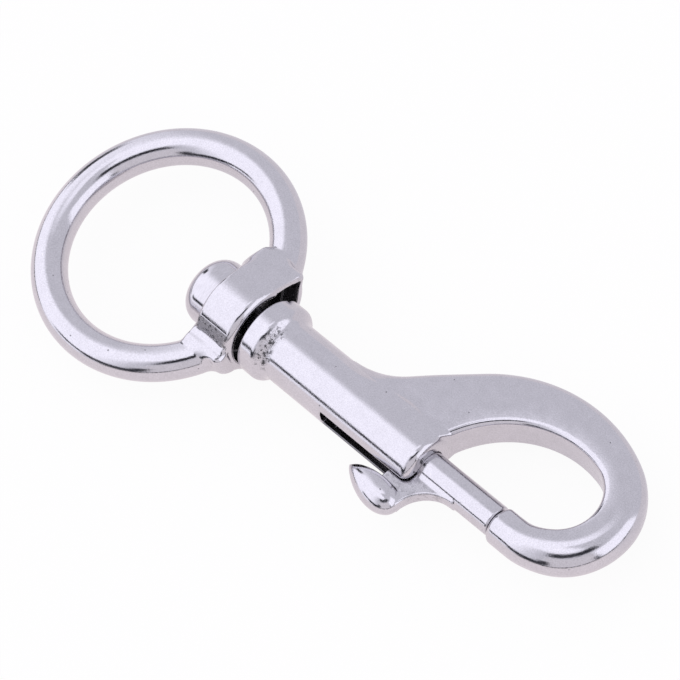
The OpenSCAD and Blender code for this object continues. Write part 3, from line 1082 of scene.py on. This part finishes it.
@dataclass(frozen=True)
class GateSpring:
    """The coil spring behind the bolt."""

    wire_r: float = 0.25
    turns: float = 7.0  # from end to end
    closed_turns: float = 0.8  # at each end
    closed_pitch: float = 2.04  # pitch of the closed turns, in radii of the wire
    ring_points: int = 14  # points round the wire
    turn_points: int = 40  # points in one turn

    def tree(self, values: dict) -> bpy.types.NodeTree:
        """Builds the node tree that winds the spring along X.

        Args:
            values: The name of each input, and a value of its kind.

        Returns:
            The tree, a group of geometry nodes.
        """
        tree = bpy.data.node_groups.new("coil_winding", "GeometryNodeTree")
        face = tree.interface
        kinds = {float: "NodeSocketFloat", int: "NodeSocketInt"}
        face.new_socket("Geometry", in_out="INPUT", socket_type="NodeSocketGeometry")
        for name, value in values.items():
            face.new_socket(name, in_out="INPUT", socket_type=kinds.get(type(value), "NodeSocketMaterial"))
        face.new_socket("Geometry", in_out="OUTPUT", socket_type="NodeSocketGeometry")
        pad = NodePad(tree)
        given = pad.add("NodeGroupInput").outputs
        radius, turns, closed_turns = given["Wire Radius"], given["Turns"], given["Closed Turns"]

        # A line of points, each of which then takes its place on the coil.
        count = pad.times(turns, given["Turn Points"])
        ends = {"Start": (0, 0, 0), "End": (1, 0, 0)}
        line = pad.add("GeometryNodeCurvePrimitiveLine", ends, mode="POINTS").outputs[0]
        line = pad.add("GeometryNodeResampleCurve", {"Curve": line, "Count": count}).outputs[0]
        turn = pad.times(pad.add("GeometryNodeSplineParameter").outputs["Factor"], turns)
        angle = pad.times(turn, math.tau)

        # The closed turns at both ends have the wire's own pitch, and the open ones share what is left.
        pitch = pad.times(radius, self.closed_pitch)
        open_turns = pad.minus(turns, pad.times(closed_turns, 2.0))
        closed = pad.times(closed_turns, pitch)
        span = pad.minus(given["Length"], pad.times(radius, 2.0))
        free = pad.minus(span, pad.times(closed, 2.0))
        first = pad.math("MINIMUM", turn, closed_turns)
        left = pad.minus(turns, turn)
        last = pad.most(pad.minus(closed_turns, left), 0.0)
        middle = pad.minus(pad.minus(turn, first), last)
        along = pad.times(pad.plus(first, last), pitch)
        along = pad.plus(along, pad.times(pad.math("DIVIDE", middle, open_turns), free))
        along = pad.plus(pad.plus(along, given["Start"]), radius)
        aside = pad.times(pad.math("COSINE", angle), given["Coil Radius"])
        above = pad.times(pad.math("SINE", angle), given["Coil Radius"])
        position = pad.add("ShaderNodeCombineXYZ", {0: along, 1: aside, 2: above}).outputs[0]
        coil = pad.add("GeometryNodeSetPosition", {"Geometry": line, "Position": position}).outputs[0]

        circle = {"Resolution": given["Wire Points"], "Radius": radius}
        section = pad.add("GeometryNodeCurvePrimitiveCircle", circle).outputs[0]
        sweep = {"Curve": coil, "Profile Curve": section, "Fill Caps": True}
        wire = pad.add("GeometryNodeCurveToMesh", sweep).outputs[0]
        wire = pad.add("GeometryNodeSetShadeSmooth", {"Geometry": wire}).outputs[0]
        wire = pad.add("GeometryNodeRealizeInstances", {"Geometry": wire}).outputs[0]
        wire = pad.add("GeometryNodeSetMaterial", {"Geometry": wire, "Material": given["Finish"]}).outputs[0]
        pad.add("NodeGroupOutput", {"Geometry": wire})
        return tree

    def build(self, finish: bpy.types.Material) -> bpy.types.Object:
        """Winds the spring in its node's place.

        Args:
            finish: Material of the wire.

        Returns:
            A plain mesh object at the origin.
        """
        low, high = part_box("gate_spring")
        values = {
            "Wire Radius": self.wire_r * MM,
            "Coil Radius": high.y - self.wire_r * MM,
            "Start": low.x,
            "Length": high.x - low.x,
            "Turns": self.turns,
            "Closed Turns": self.closed_turns,
            "Wire Points": self.ring_points,
            "Turn Points": self.turn_points,
            "Finish": finish,
        }
        tree = self.tree(values)
        maker = placed("coil_maker", bpy.data.meshes.new("coil_maker"))
        winding = maker.modifiers.new("coil_winding", "NODES")
        winding.node_group = tree
        for item in tree.interface.items_tree:
            if item.in_out == "INPUT" and item.name in values:
                winding[item.identifier] = values[item.name]
        bpy.context.view_layer.update()
        graph = bpy.context.evaluated_depsgraph_get()
        mesh = bpy.data.meshes.new_from_object(maker.evaluated_get(graph), depsgraph=graph)
        maker.modifiers.remove(winding)
        bpy.data.objects.remove(maker)
        mesh.name = "coil_spring"
        return placed("coil_spring", mesh)


# ---- stage


class Tone(Enum):
    """Radiance of a panel, as red, green and blue."""

    LIT = (1.36, 1.34, 1.48)
    SOFT = (1.30, 1.28, 1.42)
    GREY = (0.84, 0.80, 0.86)
    DUSK = (0.10, 0.10, 0.12)
    DIM = (0.06, 0.06, 0.07)
    DEEP = (0.05, 0.05, 0.06)
    DARK = (0.03, 0.03, 0.04)
    BLACK = (0.01, 0.01, 0.02)


@dataclass(frozen=True)
class Panel:
    """One soft-edged patch of the studio round the object, in degrees."""

    azimuth: Pair  # lowest and highest bearing, from +X towards +Y
    elevation: Pair  # lowest and highest elevation
    soft: Pair  # width of its soft edges in azimuth and in elevation
    tone: Tone


@dataclass(frozen=True)
class Studio:
    """Floor, light and camera."""

    walls: Triple = (0.76, 0.75, 0.83)  # radiance where no panel covers the studio
    panels: tuple[Panel, ...] = (  # bright and dark patches, later ones over earlier ones
        Panel((60, 170), (68, 110), (14, 14), Tone.SOFT),
        Panel((155, 265), (2, 110), (36, 12), Tone.LIT),
        Panel((240, 359), (66, 110), (9, 9), Tone.LIT),
        Panel((288, 350), (1, 46), (12, 12), Tone.GREY),
        Panel((228, 256), (9, 17), (10, 3), Tone.BLACK),
        Panel((250, 287), (4, 17), (8, 5), Tone.DARK),
        Panel((280, 292), (8, 26), (6, 6), Tone.DEEP),
        Panel((287, 368), (49, 64), (8, 4), Tone.DARK),
        Panel((347, 354), (3, 20), (4, 4), Tone.DUSK),
        Panel((353, 404), (3, 43), (5, 5), Tone.LIT),
        Panel((159, 171), (3, 26), (5, 5), Tone.DIM),
        Panel((262, 390), (-9, 4), (6, 3), Tone.DIM),
        Panel((168, 215), (-9, 4), (10, 3), Tone.DIM),
    )
    paper: Triple = (0.97, 0.93, 0.92)  # colour of the floor under the shadow
    floor_near: Triple = (0.99, 0.91, 0.94)  # the floor as the steel mirrors it, on the camera's side
    floor_shaded_far: Triple = (0.80, 0.76, 0.81)  # and beyond the object, darker there as painted shade
    floor_fade: float = 0.03  # distance over which it changes, in metres
    floor_glow: Pair = (0.93, 0.75)  # share of plain light in the floor as seen, and as mirrored
    floor_half: float = 3.0  # half of the floor's side, in metres
    lens: float = 162.516  # focal length on a 36 mm sensor
    camera_place: Triple = (244.153, -85.503, 396.452)
    camera_aim: Triple = (31.966, 6.332, 0.0)  # a point in the middle of the view
    camera_roll: float = -24.494  # turn of the camera about its view, in degrees

    def world(self) -> None:
        """Builds the studio's light as a world of soft panels; the camera sees it white."""
        world = bpy.data.worlds.new("studio")
        bpy.context.scene.world = world
        world.use_nodes = True
        pad = NodePad(world.node_tree)
        coords = pad.add("ShaderNodeTexCoord").outputs["Generated"]
        way = pad.add("ShaderNodeSeparateXYZ", {0: coords}).outputs
        elevation = pad.math("DEGREES", pad.math("ARCSINE", way["Z"]))
        bearing = pad.math("DEGREES", pad.math("ARCTAN2", way["Y"], way["X"]))
        light = pad.add("ShaderNodeRGB").outputs[0]
        light.default_value = (*self.walls, 1)
        for panel in self.panels:
            middle, half = sum(panel.azimuth) / 2, (panel.azimuth[1] - panel.azimuth[0]) / 2
            off_middle = pad.math("ABSOLUTE", pad.math("WRAP", pad.minus(bearing, middle), 180.0, -180.0))
            aside, upright = panel.soft[0] / 2, panel.soft[1] / 2
            mask = pad.step(off_middle, half - aside, half + aside, 1.0, 0.0)
            low, high = panel.elevation
            mask = pad.times(mask, pad.step(elevation, low - upright, low + upright))
            mask = pad.times(mask, pad.step(elevation, high - upright, high + upright, 1.0, 0.0))
            light = pad.mix(mask, light, (*panel.tone.value, 1))
        seen = pad.add("ShaderNodeLightPath").outputs
        clear = pad.most(seen["Is Camera Ray"], seen["Is Transmission Ray"])
        light = pad.mix(clear, light, (1, 1, 1, 1))
        back = pad.add("ShaderNodeBackground", {"Color": light, "Strength": 1.0})
        pad.add("ShaderNodeOutputWorld", {"Surface": back.outputs[0]})

    def floor(self) -> None:
        """Builds the pale floor under the object; it keeps the object's shadow, and as the steel mirrors it, it
        has painted shade beyond the object.
        """
        made = bpy.data.materials.new("studio_floor")
        made.use_nodes = True
        pad = NodePad(made.node_tree)
        seen = pad.add("ShaderNodeLightPath").outputs
        paper = pad.add("ShaderNodeBsdfDiffuse", {"Color": (*self.paper, 1), "Roughness": 0.0}).outputs[0]
        white = pad.add("ShaderNodeEmission", {"Color": (1, 1, 1, 1), "Strength": 1.0}).outputs[0]
        coords = pad.add("ShaderNodeTexCoord").outputs["Object"]
        depth = pad.add("ShaderNodeSeparateXYZ", {0: coords}).outputs["Y"]
        # As mirrored, the floor is painted darker beyond the object: painted shade.
        tone = pad.mix(pad.step(depth, 0.0, self.floor_fade), (*self.floor_near, 1), (*self.floor_shaded_far, 1))
        mirrored = pad.add("ShaderNodeEmission", {"Color": tone, "Strength": 1.0}).outputs[0]
        glow = pad.add("ShaderNodeMixShader", {0: seen["Is Glossy Ray"], 1: white, 2: mirrored}).outputs[0]
        direct = pad.most(seen["Is Camera Ray"], seen["Is Transmission Ray"])
        as_seen, as_mirrored = self.floor_glow
        share = pad.plus(pad.times(direct, as_seen), pad.times(seen["Is Glossy Ray"], as_mirrored))
        blend = pad.add("ShaderNodeMixShader", {0: share, 1: paper, 2: glow}).outputs[0]
        pad.add("ShaderNodeOutputMaterial", {"Surface": blend})
        level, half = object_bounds()[0].z, self.floor_half
        corners = [(-half, -half, level), (half, -half, level), (half, half, level), (-half, half, level)]
        mesh = bpy.data.meshes.new("studio_floor")
        mesh.from_pydata(corners, [], [(0, 1, 2, 3)])
        mesh.materials.append(made)
        plane = placed("studio_floor", mesh)
        plane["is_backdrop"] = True

    def camera(self) -> None:
        """Sets the camera."""
        data = bpy.data.cameras.new("camera")
        data.sensor_width = 36.0
        data.lens = self.lens
        data.clip_end = 10.0
        place, aim = Vector(self.camera_place), Vector(self.camera_aim)
        turn = (aim - place).to_track_quat("-Z", "Y") @ Quaternion((0, 0, 1), math.radians(self.camera_roll))
        eye = placed("camera", data)
        eye.matrix_world = Matrix.LocRotScale(place * MM, turn, None)
        bpy.context.scene.camera = eye

    def build(self) -> None:
        """Sets up light, floor and camera."""
        bpy.context.scene.view_settings.view_transform = "Standard"
        self.world()
        self.floor()
        self.camera()


# ---- the whole


@dataclass(frozen=True)
class Fit:
    """What a finished piece stands for."""

    node: str  # the node that it replaces
    body: str  # the body that it rides on
    slot: str  # name of a material slot

    def dress(self, piece: bpy.types.Object, finish: bpy.types.Material) -> None:
        """Gives a piece its finish and body, and hides the node that it stands for.

        Args:
            piece: The piece.
            finish: Its material.
        """
        piece.data.materials.clear()
        piece.data.materials.append(finish)
        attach(piece, self.body)
        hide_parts(self.node)
        log.info("%s: %d faces, stands for %s", piece.name, len(piece.data.polygons), self.node)


def main() -> None:
    """Builds every piece in order."""
    logging.basicConfig(level=logging.INFO, format="%(message)s")
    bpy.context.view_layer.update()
    at = SwivelSizes.from_frame()
    cast = SteelFinish("cast_steel", roll=at.roll, seam=12.0)
    eye_cast = SteelFinish("cast_steel_eye")
    turned = SteelFinish("turned_steel", grain_size=(0.08, 0.9, 0.9), grain=1.6, pit_share=0.0, wave=4.0)
    wire = SteelFinish("spring_wire", colour=(0.50, 0.49, 0.50), roughness=0.3, pit_share=0.0, wave=0.0)
    Fit("swivel_eye", "eye", "cast_steel").dress(EyeCasting(at).build(), eye_cast.material())
    steel = cast.material()
    Fit("hook_body", "hook", "cast_steel").dress(HookCasting(at).build(), steel)
    Fit("gate_bolt", "bolt", "cast_steel").dress(BoltCasting(at).build(), steel)
    Fit("swivel_stud", "hook", "turned_steel").dress(StudTurning(at).build(), turned.material())
    coil_finish = wire.material()
    coil = GateSpring().build(coil_finish)
    Fit("gate_spring", "hook", "spring_wire").dress(coil, coil_finish)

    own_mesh(coil)
    Studio().build()


if __name__ == "__main__":
    main()
